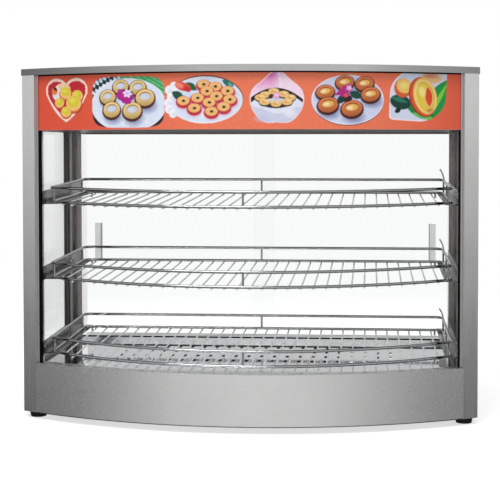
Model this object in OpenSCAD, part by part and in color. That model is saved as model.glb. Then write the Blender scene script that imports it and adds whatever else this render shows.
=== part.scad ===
// Bow-fronted hot food display case: a stainless case on four feet, glazed on all
// sides, with three wire shelves, a lit sign, sliding rear doors and a heated base.
// Millimetres. X runs to the right, Y to the back, Z up. The origin is on the
// worktop, under the middle of the case and its rear controls.

/* [Case] */
// Width across the corner posts
case_w = 850; // [800:10:900]
// Depth of the straight sides, from the front posts to the back
side_d = 384; // [376:2:400]
// How far the front bows out ahead of the front posts
bow = 115; // [105:1:120]
// Height of the top surface above the worktop
case_h = 656; // [650:2:690]
// Height of a rubber foot
foot_h = 12; // [10:1:12]
// Thickness of the lid
lid_t = 12; // [10:1:14]
// Overhang of the lid past the posts and the apron
lid_over = 1.5; // [1:0.5:3]
// Thickness of the folded sheet metal
sheet = 1.2; // [1:0.1:1.5]

/* [Levels] */
// Top of the apron, where the glass starts
apron_top = 106; // [104:1:110]
// Top of the perforated deck
deck_top = 95; // [92:1:96]
// Bottom of the lit sign
sign_bottom = 541.5; // [536:0.5:544]
// Bottom of the upper door track
track_top_z = 538.6; // [534:0.2:540]

/* [Posts and glass] */
// Width of a front post's face, measured across the case
post_w = 27; // [24:1:30]
// How far the sign and the glass stand back from a post's face
recess = 10.5; // [9:0.5:12]
// Depth of a front post behind the chord of the bow
post_d = 30; // [24:1:34]
// Wall of a post
post_wall = 1.5; // [1.2:0.1:2]
// Depth of a rear post along the side
rear_post_d = 72; // [66:1:76]
// Thickness of the tempered glass
glass_t = 5; // [4:0.5:5]
// Thickness of the printed sign panel
sign_t = 2.5; // [2:0.5:2.5]

/* [Shelves] */
// Half of a shelf's width, to the middle of its side rail
shelf_x = 377.5; // [370:0.5:379]
// Length of a shelf's straight side
shelf_side = 270; // [260:1:275]
// How far a shelf's front rail bows out
shelf_bow = 116; // [108:1:117]
// Height of the lower rail at the front corners, lowest shelf first
shelf_z = [120.4, 263, 406.5]; // [118:0.1:410]
// Height between the lower and the upper rail
rail_gap = 27; // [24:1:30]
// Diameter of the rail wire
rail_wire = 5.5; // [5:0.5:6]
// Diameter of a cross wire
cross_wire = 3; // [2.5:0.5:3]
// Distance between cross wires
wire_pitch = 22.8; // [22:0.1:22.8]
// Number of cross wires
wire_count = 32; // [28:2:32]
// Backward rise of a shelf in degrees
shelf_tilt = 2; // [1:0.5:2.5]

/* [Doors] */
// Depth of the double door track
track_d = 49; // [48:1:52]
// Distance between the two sliding panes
track_pitch = 18; // [17:0.5:18]
// Overlap of the closed doors
door_overlap = 46; // [40:1:60]
// Width of a glued door handle
handle_w = 14.4; // [12:0.2:16]
// Height of a door handle
handle_h = 80; // [60:5:100]

/* [Controls] */
// How far the thermostat knob stands out of the back
knob_out = 21.5; // [20:0.5:24]
// Diameter of the thermostat knob
knob_d = 40; // [34:1:44]
// Radius of the cable gland's bore
gland_r = 4.5; // [3.5:0.5:5]

/* [Hidden] */

$fn = 96;
arc_fn = 480;          // facets in a full turn of the long bowed curves
eps = 0.01;            // overlap that keeps a cut clean
gap = 0.3;             // clearance between pieces that move past each other

// Plan of the case
half_w = case_w / 2;
bow_r = (half_w * half_w + bow * bow) / (2 * bow);
y_back = (lid_over + bow + side_d + knob_out) / 2 - knob_out;
y_post = y_back - side_d;
y_axis = y_post - bow + bow_r;          // axis of the bowed front
y_post_back = y_post + post_d;
y_rear_post = y_back - rear_post_d;
y_track = y_back - track_d;
post_angle = asin((half_w - post_w) / bow_r);
post_in = half_w - post_w - recess * sin(post_angle);   // inner wall of a front post
stile_in = post_in - 1.5;                               // inner wall of a rear post
glass_r = bow_r - recess - 0.5;         // front face of the bowed glass
sign_r = bow_r - recess + sign_t;       // front face of the sign
seal_w = 5;                             // width of the black seal beside the glass
rear_step = 18;                         // width of a rear post ahead of the track
post_foot_t = 2;                        // thickness of a post's closed foot

// Levels
lid_bottom = case_h - lid_t;
pan_z = foot_h + sheet;
pan_t = 1.5;                            // thickness of the base pan
pan_top = pan_z + pan_t;
glass_top = sign_bottom + 16;
side_glass_x = half_w - 9;              // inner face of a side pane
deck_ledge_z = deck_top - 2 * sheet;
track_top_h = 23.4;                     // height of the upper door track
upper_panel_z = track_top_z + track_top_h;

// Shelf curve, in the shelf's own level frame
shelf_r = (shelf_x * shelf_x + shelf_bow * shelf_bow) / (2 * shelf_bow);
shelf_axis = shelf_r - shelf_bow;
shelf_front_y = y_post + 28.7;          // where the front corners of a shelf lie
support_t = 2;                          // thickness of an angle strip
support_h = 26;                         // height of its upright leg
ledge_w = 26;                           // width of its level leg
wire_drop = (rail_wire + cross_wire) / 2 + 0.05;        // cross wires below the lower rail

// Doors
pane_y = [y_track + 10, y_track + 10 + track_pitch];    // front faces of the panes
groove_w = 8.6;                         // width of a groove in the tracks
groove_floor = apron_top - 9.4;
pane_bottom = groove_floor + 4;
pane_top = track_top_z + 8;
shoe_w = groove_w - 0.8;                // width of a glide shoe
handle_z = 307;                         // middle of a handle
handle_x = stile_in - 25;               // outer edge of a handle

// Rear panel. Positions are [x, z] on the back.
panel_top = deck_top - 1.4;
hem_w = 14;                             // width of a narrow folded hem
flange_w = 38;                          // width of the flange under or over a track
knob_pos = [-150, 54];
rocker_pos = [[-40, 54], [20, 54]];     // heat switch and light switch
pilot_pos = [[70, 54], [100, 54]];
gland_pos = [330, 46];
rocker_r = 10.5;                        // radius of a rocker cap
rocker_w = 12;                          // width of a rocker cap
switch_body = [8, 12.5];                // half width and half height of a switch body
pilot_r = 5;                            // radius of a pilot lamp's barrel
thread_r = 8;                           // radius of the gland's thread
shaft_r = 3;                            // radius of the thermostat's shaft
screw_hole_r = 2.1;                     // clearance hole of a small screw

// Lamp
lamp_y = y_post - 20;
lamp_z = sign_bottom + 52;
lamp_half = 275;                        // half length of the tube
lamp_slot = [262, 18];                  // half length and half width of the light slot

// Heating
tube_r = 4;                             // radius of the heating tube
heat_z = 62;                            // axis of the heating tubes
heat_y = [y_post + 40, y_post + 100];   // front and back run of a hairpin
shield_z = 28;                          // underside of the heat shield

// ---------------------------------------------------------------- plan helpers

// Disc concentric with the bowed front
module bow_disc(r) translate([0, y_axis]) circle(r, $fn = arc_fn);

// Ring between two radii of the bowed front
module bow_band(r_out, r_in) difference() {
  bow_disc(r_out);
  bow_disc(r_in);
}

// Rectangle given by its sides
module rect(x0, x1, y0, y1) translate([x0, y0]) square([x1 - x0, y1 - y0]);

// Everything within an angle of the bow's middle
module bow_wedge(a) {
  reach = 1.2 * bow_r;
  translate([0, y_axis])
    polygon([[0, 0], [-reach * sin(a), -reach * cos(a)], [reach * sin(a), -reach * cos(a)]]);
}

// Slab between two heights
module slab(z0, z1) translate([0, 0, z0]) linear_extrude(z1 - z0) children();

// A box given by its low and high corners
module block(a, b) translate(a) cube(b - a);

// A rod of radius r from point a to point b
module rod(a, b, r) {
  d = b - a;
  translate(a)
    rotate([0, acos(d.z / norm(d)), atan2(d.y, d.x)])
      cylinder(h = norm(d), r = r);
}

// Mirrors its children to the left side
module left() mirror([1, 0, 0]) children();

// Places its children on the back panel at [x, z], with +Z pointing out of the back
module on_back(p) translate([p[0], y_back, p[1]]) rotate([-90, 0, 0]) children();

// Plan of a plate that fills the case between its posts
module plate_plan(r_front, wing_x, y_end) {
  step_x = min(wing_x, half_w - rear_step);
  intersection() {
    bow_disc(r_front);
    rect(-post_in, post_in, y_post - bow, y_track);
  }
  rect(-wing_x, wing_x, y_post_back, y_rear_post);
  rect(-step_x, step_x, y_post_back, y_track);
  rect(-stile_in, stile_in, y_track - 1, y_end);
}

// ---------------------------------------------------------------- base

module base_pan() color("silver")
  slab(pan_z, pan_top) difference() {
    plate_plan(bow_r - sheet, half_w - sheet, y_back - sheet);
    for (x = [-220, 220], i = [0:7])
      translate([x - 60, y_post + 120 + 16 * i]) square([120, 4]);
  }

module front_apron() color("gainsboro") {
  slab(foot_h, apron_top) intersection() {
    bow_band(bow_r, bow_r - sheet);
    bow_wedge(post_angle);
  }
  for (z = [[foot_h, 14], [apron_top - sheet, 24]])
    slab(z[0], z[0] + sheet) intersection() {
      bow_band(bow_r, bow_r - z[1]);
      rect(-post_in, post_in, y_post - bow, y_post);
    }
}

// Side skirt with its flanges, its deck ledge and a row of vent slots
module side_base() {
  difference() {
    block([half_w - sheet, y_post_back, foot_h], [half_w, y_rear_post, apron_top]);
    for (i = [0:5])
      translate([half_w - 5, y_post + 120 + 26 * i, 42]) cube([10, 6, 36]);
  }
  for (f = [[foot_h, 12], [deck_ledge_z, 12], [apron_top - sheet, 13]])
    block([half_w - f[1], y_post_back, f[0]], [half_w, y_rear_post, f[0] + sheet]);
}

module side_base_right() color("silver") side_base();
module side_base_left() color("silver") left() side_base();

module rear_control_panel() color("silver") difference() {
  union() {
    block([-stile_in, y_back - sheet, foot_h], [stile_in, y_back, panel_top]);
    block([-stile_in, y_back - hem_w, foot_h], [stile_in, y_back, foot_h + sheet]);
    block([-stile_in, y_back - flange_w, panel_top - sheet], [stile_in, y_back, panel_top]);
  }
  on_back(knob_pos) translate([0, 0, -5]) cylinder(h = 10, r = 4);
  for (p = rocker_pos)
    block([p[0] - switch_body[0], y_back - 5, p[1] - switch_body[1]],
          [p[0] + switch_body[0], y_back + 5, p[1] + switch_body[1]]);
  for (p = pilot_pos)
    on_back(p) translate([0, 0, -5]) cylinder(h = 10, r = pilot_r);
  on_back(gland_pos) translate([0, 0, -5]) cylinder(h = 10, r = thread_r);
  for (p = panel_screw_pos())
    on_back(p) translate([0, 0, -5]) cylinder(h = 10, r = screw_hole_r);
  for (x = [180, 250], i = [0:4])
    block([x, y_back - 5, 34 + 9 * i], [x + 44, y_back + 5, 38 + 9 * i]);
}

function panel_screw_pos() = [
  for (x = [-stile_in + 14, 0, stile_in - 14], z = [22, 84]) [x, z]
];

module deck() color("lightgray")
  slab(deck_top - sheet, deck_top) difference() {
    plate_plan(bow_r - sheet, half_w - sheet, y_track);
    for (row = [0:3], i = [0:21])
      translate([25.5 * (i - 10.5) - 3, y_post + 258 - 53 * row - 11]) square([6, 22]);
  }

// ---------------------------------------------------------------- posts

// Walls of a hollow post above its closed foot, with the outline as child 0
// and the cavity as child 1
module hollow_post() difference() {
  slab(foot_h, lid_bottom) children(0);
  slab(foot_h + post_foot_t, lid_bottom + eps) children(1);
}

module front_post_outline() difference() {
  intersection() {
    bow_disc(bow_r);
    rect(post_in, half_w, y_post - bow, y_post_back);
  }
  difference() {
    bow_wedge(post_angle);
    bow_disc(bow_r - recess);
  }
}

module front_post_cavity() difference() {
  intersection() {
    bow_disc(bow_r - post_wall);
    rect(post_in + post_wall, half_w - post_wall, y_post - bow, y_post_back - post_wall);
  }
  difference() {
    bow_wedge(post_angle + asin(post_wall / bow_r));
    bow_disc(bow_r - recess - post_wall);
  }
}

module front_post() difference() {
  hollow_post() {
    front_post_outline();
    front_post_cavity();
  }
  foot_hole(1);
  support_screw_holes();
}

module rear_post_outline() {
  rect(half_w - rear_step, half_w, y_rear_post, y_back);
  rect(stile_in, half_w - rear_step + eps, y_track, y_back);
}

module rear_post_cavity() {
  w = post_wall;
  rect(half_w - rear_step + w, half_w - w, y_rear_post + w, y_back - w);
  rect(stile_in + w, half_w - rear_step + w + eps, y_track + w, y_back - w);
}

module rear_post() difference() {
  hollow_post() {
    rear_post_outline();
    rear_post_cavity();
  }
  foot_hole(-1);
}

// Middle of a foot: s is 1 for the front pair and -1 for the rear pair
function foot_x() = half_w - 24;
function foot_y(s) = s > 0 ? y_post + 15 : y_back - 26;

module foot_hole(s)
  translate([foot_x(), foot_y(s), foot_h - 1]) cylinder(h = 4, r = 2.5);

module front_post_right() color("silver") front_post();
module front_post_left() color("silver") left() front_post();
module rear_post_right() color("dimgray") rear_post();
module rear_post_left() color("dimgray") left() rear_post();

// ---------------------------------------------------------------- top

module ceiling_panel() color("gray")
  slab(sign_bottom, sign_bottom + sheet) difference() {
    plate_plan(glass_r - glass_t - 0.5, side_glass_x - 0.5, y_track);
    rect(-lamp_slot[0], lamp_slot[0], lamp_y - lamp_slot[1], lamp_y + lamp_slot[1]);
  }

module side_top() {
  block([half_w - sheet, y_post_back, sign_bottom], [half_w, y_rear_post, lid_bottom]);
  block([half_w - hem_w, y_post_back, lid_bottom - sheet], [half_w, y_rear_post, lid_bottom]);
}

module side_top_right() color("silver") side_top();
module side_top_left() color("silver") left() side_top();

module rear_top_panel() color("silver") {
  z0 = upper_panel_z;
  block([-stile_in, y_back - sheet, z0], [stile_in, y_back, lid_bottom]);
  block([-stile_in, y_back - flange_w, z0], [stile_in, y_back, z0 + sheet]);
  block([-stile_in, y_back - hem_w, lid_bottom - sheet], [stile_in, y_back, lid_bottom]);
}

// Plan of the lid, drawn in by d on every side
module lid_plan(d) intersection() {
  bow_disc(bow_r + lid_over - d);
  rect(-half_w - lid_over + d, half_w + lid_over - d, y_post - bow - lid_over, y_back - d);
}

module lid() color("gainsboro") difference() {
  slab(lid_bottom, case_h) lid_plan(0);
  slab(lid_bottom + sheet, case_h - sheet) lid_plan(sheet);
  slab(lid_bottom - eps, lid_bottom + sheet + eps) lid_plan(26);
}

module header_sign() color("orangered")
  slab(sign_bottom, lid_bottom) intersection() {
    bow_band(sign_r, sign_r - sign_t);
    bow_wedge(post_angle);
  }

// ---------------------------------------------------------------- glass

module front_glass() color("lightcyan", 0.3)
  slab(apron_top, glass_top) intersection() {
    bow_band(glass_r, glass_r - glass_t);
    rect(-post_in + 1.5, post_in - 1.5, y_post - bow, y_post_back);
  }

module front_seals() color("black")
  for (side = [0, 1])
    mirror([side, 0, 0])
      slab(apron_top, sign_bottom) difference() {
        intersection() {
          bow_band(glass_r + 2, glass_r - glass_t - 3);
          rect(post_in - seal_w, post_in, y_post - bow, y_post_back);
        }
        intersection() {
          bow_band(glass_r, glass_r - glass_t);
          rect(0, post_in - 1.5, y_post - bow, y_post_back);
        }
      }

module side_pane() block(
  [side_glass_x, y_post_back + 3, apron_top],
  [side_glass_x + glass_t, y_rear_post - 3, glass_top]);

module side_glass_right() color("lightcyan", 0.3) side_pane();
module side_glass_left() color("lightcyan", 0.3) left() side_pane();

// Channel seal along one upright edge of a side pane: y is the post's face,
// and s points from it towards the pane
module side_seal(y, s) difference() {
  block([side_glass_x - 2, min(y, y + 8 * s), apron_top],
        [side_glass_x + glass_t + 2, max(y, y + 8 * s), sign_bottom]);
  block([side_glass_x, min(y + 3 * s, y + 9 * s), apron_top - 1],
        [side_glass_x + glass_t, max(y + 3 * s, y + 9 * s), sign_bottom + 1]);
}

module side_seals() color("black")
  for (side = [0, 1])
    mirror([side, 0, 0]) {
      side_seal(y_post_back, 1);
      side_seal(y_rear_post, -1);
    }

// ---------------------------------------------------------------- doors

module door_track_bottom() color("silver") difference() {
  block([-stile_in, y_track, panel_top], [stile_in, y_back, apron_top]);
  for (y = pane_y)
    translate([-stile_in - 1, y + glass_t / 2 - groove_w / 2, groove_floor])
      cube([2 * stile_in + 2, groove_w, 20]);
}

module door_track_top() color("dimgray") difference() {
  block([-stile_in, y_track, track_top_z], [stile_in, y_back, upper_panel_z]);
  for (y = pane_y)
    translate([-stile_in - 1, y + glass_t / 2 - groove_w / 2, track_top_z - 1])
      cube([2 * stile_in + 2, groove_w, 19]);
}

// A pane spans from the stile to past the middle; k is 0 for the left, inner
// door and 1 for the right, outer door
module pane(k) mirror([1 - k, 0, 0])
  block([-door_overlap / 2, pane_y[k], pane_bottom],
        [stile_in - gap, pane_y[k] + glass_t, pane_top]);

// Glued pull: a flat strip with a fin along the edge nearer to the middle
module pull(k) mirror([1 - k, 0, 0]) {
  y0 = pane_y[k] + glass_t;
  z0 = handle_z - handle_h / 2;
  block([handle_x - handle_w, y0, z0], [handle_x, y0 + 1.6, z0 + handle_h]);
  block([handle_x - handle_w, y0, z0], [handle_x - handle_w + 1.8, y0 + 10, z0 + handle_h]);
}

// Two slotted shoes under a pane that run in the groove
module glides(k) mirror([1 - k, 0, 0])
  for (x = [-door_overlap / 2 + 10, stile_in - 50])
    difference() {
      translate([x, pane_y[k] + glass_t / 2 - shoe_w / 2, groove_floor + gap])
        cube([40, shoe_w, 8]);
      translate([x - 1, pane_y[k], pane_bottom]) cube([42, glass_t, 10]);
    }

module door_left_glass() color("lightcyan", 0.3) pane(0);
module door_right_glass() color("lightcyan", 0.3) pane(1);
module door_left_handle() color("gainsboro") pull(0);
module door_right_handle() color("gainsboro") pull(1);
module door_left_glides() color("black") glides(0);
module door_right_glides() color("black") glides(1);

// ---------------------------------------------------------------- shelves

// Places a shelf's own level frame, whose origin is midway between the front
// corners of its lower rail
module at_shelf(n) translate([0, shelf_front_y, shelf_z[n]]) rotate([shelf_tilt, 0, 0])
  children();

// Round wire of radius w bent through part of a circle about [x, y], from angle
// a0 over the angle a
module bend(x, y, r, a0, a, z, w) translate([x, y, z])
  rotate_extrude(angle = a, start = a0, $fn = r > 100 ? arc_fn : 96)
    translate([r, 0]) circle(w, $fn = 48);

// One closed loop of rail wire: bowed front, straight sides and back, round
// corners. The corners are a hair thicker, and the long runs end just inside them.
module rail_loop(z) {
  w = rail_wire / 2;
  corner_w = w + 0.06;
  lap = 0.4;
  front_c = 9;
  back_c = 16;
  cx = shelf_x - front_c;
  cy = shelf_axis - sqrt(pow(shelf_r - front_c, 2) - pow(cx, 2));
  a = atan2(cx, shelf_axis - cy);
  lap_a = lap / shelf_r * 180 / PI;
  back = shelf_side - back_c;
  rear_x = shelf_x - back_c + lap;
  bend(0, shelf_axis, shelf_r, 270 - a - lap_a, 2 * (a + lap_a), z, w);
  for (x = [-shelf_x, shelf_x]) rod([x, cy - lap, z], [x, back + lap, z], w);
  rod([-rear_x, shelf_side, z], [rear_x, shelf_side, z], w);
  bend(cx, cy, front_c, 270 + a, 90 - a, z, corner_w);
  bend(-cx, cy, front_c, 180, 90 - a, z, corner_w);
  bend(shelf_x - back_c, back, back_c, 0, 90, z, corner_w);
  bend(back_c - shelf_x, back, back_c, 90, 90, z, corner_w);
}

// Upright struts between the two loops
module struts() {
  r = 2;
  front_x = shelf_x - 6;
  front_y = shelf_axis - sqrt(shelf_r * shelf_r - front_x * front_x);
  for (p = [[0, -shelf_bow], [0, shelf_side], [-front_x, front_y], [front_x, front_y],
            [-shelf_x, 150], [shelf_x, 150],
            [-shelf_x, shelf_side - 20], [shelf_x, shelf_side - 20]])
    translate([p[0], p[1], 0]) cylinder(h = rail_gap, r = r);
  for (x = [-shelf_x + 16, shelf_x - 16])
    translate([x, shelf_side, -11]) cylinder(h = 11, r = r);
}

// Curved wire that rises from the right rail at the back and leans inwards
module stop_hook() {
  r = 40;
  translate([shelf_x - r - 0.2, shelf_side - 34, rail_gap - 0.8]) rotate([90, 0, 0])
    rotate_extrude(angle = 38) translate([r, 0]) circle(1.6);
}

module shelf_rails(n) color("lightslategray") at_shelf(n) {
  rail_loop(0);
  rail_loop(rail_gap);
  struts();
  stop_hook();
}

module shelf_wires(n) color("lightgray") at_shelf(n)
  for (i = [0:wire_count - 1]) {
    x = wire_pitch * (i - (wire_count - 1) / 2);
    front = shelf_axis - sqrt(shelf_r * shelf_r - x * x);
    rod([x, front - 2, -wire_drop], [x, shelf_side + 2, -wire_drop], cross_wire / 2);
  }

module shelf_bottom_rails() shelf_rails(0);
module shelf_bottom_wires() shelf_wires(0);
module shelf_middle_rails() shelf_rails(1);
module shelf_middle_wires() shelf_wires(1);
module shelf_top_rails() shelf_rails(2);
module shelf_top_wires() shelf_wires(2);

// Angle strip that carries one side of a shelf
module support(n) intersection() {
  low = -rail_wire / 2 - gap - support_t;
  at_shelf(n) {
    block([post_in - support_t, -40, low], [post_in, 340, low + support_h]);
    block([post_in - ledge_w, 6, low], [post_in, 340, low + support_t]);
  }
  block([0, y_post + 16, 0], [half_w, y_track, case_h]);
}

// Where the strips are screwed to the front posts: [y, z]
function support_screw_pos() = [for (z = shelf_z) [y_post + 24, z + 10]];

module support_screw_holes()
  for (p = support_screw_pos())
    translate([post_in - 4, p[0], p[1]]) rotate([0, 90, 0])
      cylinder(h = 10, r = screw_hole_r);

module supports() difference() {
  for (n = [0:2]) support(n);
  support_screw_holes();
}

module shelf_supports_right() color("gray") supports();
module shelf_supports_left() color("gray") left() supports();

// Pan-head screw with a cross slot; its head is above Z = 0 and its shank below
module pan_screw(length, r = 2, head = 3.6) {
  difference() {
    union() {
      translate([0, 0, -length]) cylinder(h = length + 1, r = r);
      cylinder(h = 1.2, r = head);
      translate([0, 0, 1.2]) cylinder(h = 1, r1 = head, r2 = head - 1);
    }
    for (a = [0, 90])
      rotate(a) translate([-2, -0.4, 1.2]) cube([4, 0.8, 2]);
  }
}

module support_screws() color("silver")
  for (side = [0, 1], p = support_screw_pos())
    mirror([side, 0, 0])
      translate([post_in - support_t, p[0], p[1]]) rotate([0, -90, 0]) pan_screw(7);

// ---------------------------------------------------------------- lamp

module lamp_tube() color("white") {
  rod([-lamp_half, lamp_y, lamp_z], [lamp_half, lamp_y, lamp_z], 8);
  for (s = [-1, 1], z = [-3, 3])
    rod([s * lamp_half, lamp_y, lamp_z + z], [s * (lamp_half + 7), lamp_y, lamp_z + z], 1.2);
}

module lamp_holders() color("ivory")
  for (side = [0, 1])
    mirror([side, 0, 0])
      difference() {
        block([lamp_half + 1, lamp_y - 11, sign_bottom + sheet],
              [lamp_half + 14, lamp_y + 11, lamp_z + 12]);
        for (z = [-3, 3])
          translate([lamp_half, lamp_y, lamp_z + z]) rotate([0, 90, 0])
            cylinder(h = 8.5, r = 1.25);
      }

module lamp_diffuser() color("white", 0.6)
  block([-273, lamp_y - 26, sign_bottom + sheet], [273, lamp_y + 26, sign_bottom + sheet + 2]);

// ---------------------------------------------------------------- heating

// Hairpin heating tube with its bend at the outer side
module hairpin() {
  mid = (heat_y[0] + heat_y[1]) / 2;
  r = (heat_y[1] - heat_y[0]) / 2;
  for (y = heat_y) {
    rod([30, y, heat_z], [330, y, heat_z], tube_r);
    rod([18, y, heat_z], [30, y, heat_z], 1.5);
  }
  translate([330, mid, heat_z])
    rotate_extrude(angle = 180, start = -90) translate([r, 0]) circle(tube_r, $fn = 48);
}

module heating_elements() color("dimgray")
  for (side = [0, 1]) mirror([side, 0, 0]) hairpin();

// Upright plate that carries both runs of a hairpin, standing on the heat shield
module element_brackets() color("silver")
  for (x = [-290, -70, 70, 290])
    difference() {
      union() {
        block([x - 1, heat_y[0] - 12, shield_z + 1], [x + 1, heat_y[1] + 12, heat_z + 12]);
        block([x - 1, heat_y[0] - 12, shield_z + 1], [x + 14, heat_y[1] + 12, shield_z + 2.5]);
      }
      for (y = heat_y)
        translate([x - 2, y, heat_z]) rotate([0, 90, 0]) cylinder(h = 4, r = tube_r + 0.05);
    }

// Folded tray under the elements, on four short legs
module heat_shield() color("gainsboro") {
  x = 350;
  y0 = heat_y[0] - 40;
  y1 = heat_y[1] + 80;
  block([-x, y0, shield_z], [x, y1, shield_z + 1]);
  for (s = [-x, x - 1]) block([s, y0, shield_z], [s + 1, y1, shield_z + 14]);
  for (px = [-x + 30, x - 30], py = [y0 + 20, y1 - 20])
    translate([px, py, pan_top]) cylinder(h = shield_z - pan_top, r = 4);
}

// ---------------------------------------------------------------- controls

module thermostat_body() color("slategray") difference() {
  on_back(knob_pos) {
    translate([-22, -18, -36]) cube([44, 36, 28]);
    translate([0, 0, -9]) cylinder(h = 9 - sheet, r = 6);
  }
  on_back(knob_pos) translate([0, 0, -20]) cylinder(h = 30, r = shaft_r + 0.05);
}

module thermostat_shaft() color("gold")
  on_back(knob_pos) translate([0, 0, -18]) cylinder(h = 32, r = shaft_r);

// Fluted knob with a raised pointer bar, bored for its shaft
module thermostat_knob() color("black") on_back(knob_pos) difference() {
  union() {
    translate([0, 0, 1.1]) cylinder(h = 3, r = knob_d / 2);
    translate([0, 0, 4.1]) cylinder(h = knob_out - 6.1, r = knob_d / 2 - 3);
    translate([-3, -knob_d / 2 + 3.4, 4.1]) cube([6, knob_d - 6.8, knob_out - 4.1]);
  }
  cylinder(h = 14, r = shaft_r);
  for (i = [1:17])
    rotate(-90 + 20 * i) translate([knob_d / 2 - 1.4, 0, 5]) cylinder(h = knob_out, r = 1.6);
}

module dial_plate() color("silver")
  on_back(knob_pos) difference() {
    cylinder(h = 0.8, r = 29);
    translate([0, 0, -1]) cylinder(h = 3, r = 4);
  }

// Sensing bulb under the deck, with its capillary from the thermostat
module thermostat_bulb() color("peru") {
  x = knob_pos[0] - 15;
  y = y_back - 140;
  z = deck_top - 11;
  p = [[x, y_back - 36, knob_pos[1]], [x, y, knob_pos[1]], [x, y, z], [x + 35, y, z]];
  for (i = [0:2]) rod(p[i], p[i + 1], 1);
  for (i = [1:2]) translate(p[i]) sphere(1.5);
  rod(p[3] - [1, 0, 0], p[3] + [90, 0, 0], 3.5);
}

module switch_housings() color("black")
  for (p = rocker_pos)
    difference() {
      union() {
        block([p[0] - 10.5, y_back, p[1] - 15], [p[0] + 10.5, y_back + 1.6, p[1] + 15]);
        block([p[0] - switch_body[0], y_back - 20, p[1] - switch_body[1]],
              [p[0] + switch_body[0], y_back, p[1] + switch_body[1]]);
      }
      block([p[0] - 6.5, y_back - 16, p[1] - 11], [p[0] + 6.5, y_back + 5, p[1] + 11]);
    }

// Rocker cap, drawn tilted into its off position about its own pivot
module rocker(p) translate([p[0] - rocker_w / 2, y_back - 4, p[1]])
  rotate([0, 90, 0]) linear_extrude(rocker_w) rotate(-10) intersection() {
    circle(rocker_r);
    polygon([[-12, -2], [12, -2], [12, 3.6], [0, 6], [-12, 3.6]]);
  }

module heat_switch_rocker() color("firebrick") rocker(rocker_pos[0]);
module light_switch_rocker() color("forestgreen") rocker(rocker_pos[1]);

module pilot_lamps() color("orange")
  for (p = pilot_pos)
    on_back(p) {
      cylinder(h = 1.5, r = 7);
      translate([0, 0, 1.5]) cylinder(h = 2.5, r1 = 5.5, r2 = 3.5);
      translate([0, 0, -16]) cylinder(h = 16, r = pilot_r);
    }

// Gland: a hexagon on the panel, a domed cap, a thread through the panel and a
// locknut behind it
module cable_gland() color("dimgray") on_back(gland_pos) difference() {
  union() {
    cylinder(h = 6, r = 12, $fn = 6);
    translate([0, 0, 6]) cylinder(h = 8, r = 9.5);
    translate([0, 0, 14]) cylinder(h = 4, r1 = 9.5, r2 = 6.5);
    translate([0, 0, -12]) cylinder(h = 12, r = thread_r);
    translate([0, 0, -sheet - 5]) cylinder(h = 5, r = 12, $fn = 6);
  }
  translate([0, 0, -20]) cylinder(h = 50, r = gland_r);
}

module terminal_block() color("ivory") {
  z0 = pan_top;
  difference() {
    block([230, y_back - 92, z0], [300, y_back - 68, z0 + 18]);
    for (i = [0:4])
      translate([240 + 12.5 * i, y_back - 80, z0 + 8]) cylinder(h = 20, r = 3);
  }
}

// Supply lead from the gland to the terminal block, and a lead on to the switches
module wiring_loom() color("saddlebrown") {
  r = 2.5;
  y = y_back - 80;
  z0 = pan_top + 10;
  runs = [
    [[gland_pos[0], y_back - 16, gland_pos[1]], [gland_pos[0], y, z0 + 4], [300, y, z0 + 4]],
    [[230, y, z0], [rocker_pos[1][0], y, z0], [rocker_pos[1][0], y_back - 22, 50]]
  ];
  for (run = runs) {
    rod(run[0], run[1], r);
    rod(run[1], run[2], r);
    translate(run[1]) sphere(r);
  }
}

// ---------------------------------------------------------------- feet and screws

// Places its children under the four corners
module at_feet() for (side = [0, 1], s = [1, -1])
  mirror([side, 0, 0]) translate([foot_x(), foot_y(s), 0]) children();

module feet() color("black") at_feet() difference() {
  cylinder(h = foot_h, r1 = 14.5, r2 = 17);
  translate([0, 0, -1]) cylinder(h = foot_h + 2, r = 2.5);
  translate([0, 0, -1]) cylinder(h = 7, r = 6);
}

module foot_screws() color("silver") at_feet()
  translate([0, 0, 6]) rotate([180, 0, 0]) pan_screw(foot_h + 2, 2.4, 4.5);

module panel_screws() color("silver")
  for (p = panel_screw_pos()) on_back(p) pan_screw(8);

// ---------------------------------------------------------------- node switch

base_pan();
front_apron();
side_base_left();
side_base_right();
rear_control_panel();
front_post_left();
front_post_right();
rear_post_left();
rear_post_right();
deck();
ceiling_panel();
side_top_left();
side_top_right();
rear_top_panel();
lid();
header_sign();
front_glass();
front_seals();
side_glass_left();
side_glass_right();
side_seals();
door_track_bottom();
door_track_top();
door_left_glass();
door_left_handle();
door_left_glides();
door_right_glass();
door_right_handle();
door_right_glides();
shelf_supports_left();
shelf_supports_right();
support_screws();
shelf_bottom_rails();
shelf_bottom_wires();
shelf_middle_rails();
shelf_middle_wires();
shelf_top_rails();
shelf_top_wires();
lamp_tube();
lamp_holders();
lamp_diffuser();
heating_elements();
element_brackets();
heat_shield();
thermostat_body();
thermostat_shaft();
thermostat_knob();
thermostat_bulb();
dial_plate();
switch_housings();
heat_switch_rocker();
light_switch_rocker();
pilot_lamps();
cable_gland();
terminal_block();
wiring_loom();
feet();
foot_screws();
panel_screws();
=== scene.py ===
import math

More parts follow.
